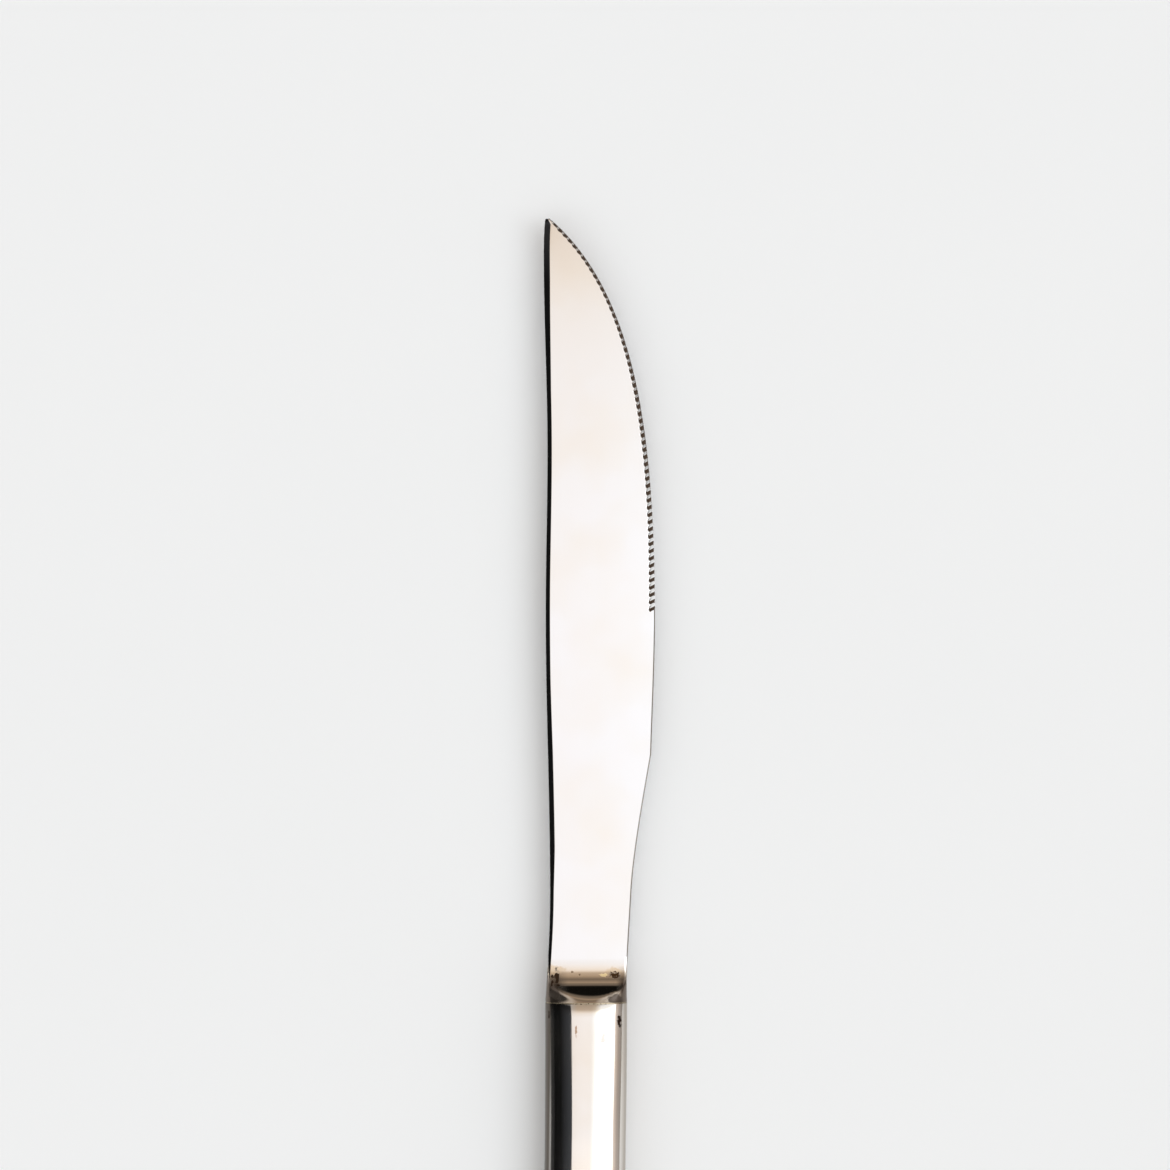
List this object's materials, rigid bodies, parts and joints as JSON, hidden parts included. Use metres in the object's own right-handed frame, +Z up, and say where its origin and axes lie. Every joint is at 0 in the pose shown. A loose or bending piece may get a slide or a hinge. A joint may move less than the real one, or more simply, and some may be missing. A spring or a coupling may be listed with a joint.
{
  "type": "serrated table knife",
  "caption": "Serrated table knife with a forged blade, integral bolster and a hollow polished handle of two brazed steel half shells.",
  "frame": {"origin": "point on the table under the middle of the knife's box", "axes": "+X from the spine to the cutting edge, +Y from the butt to the point, +Z up from the table the knife lies on"},
  "size_m": [0.0186, 0.225, 0.0078],
  "materials": {
    "blade_steel": "hardened chromium stainless, mirror polished, gullets left as ground",
    "shell_steel": "pressed chromium nickel stainless, mirror polished",
    "braze": "silver brass braze, dulled",
    "cement": "sand filled resin cement, matte",
    "weight_steel": "mild steel bar, as rolled and sawn"
  },
  "bodies": {
    "root": {"blade": "blade_steel", "handle_front_shell": "shell_steel", "handle_back_shell": "shell_steel", "seam_braze": "braze", "mouth_braze": "braze", "tang_cement": "cement", "balance_weight": "weight_steel"}
  },
  "joints": []
}
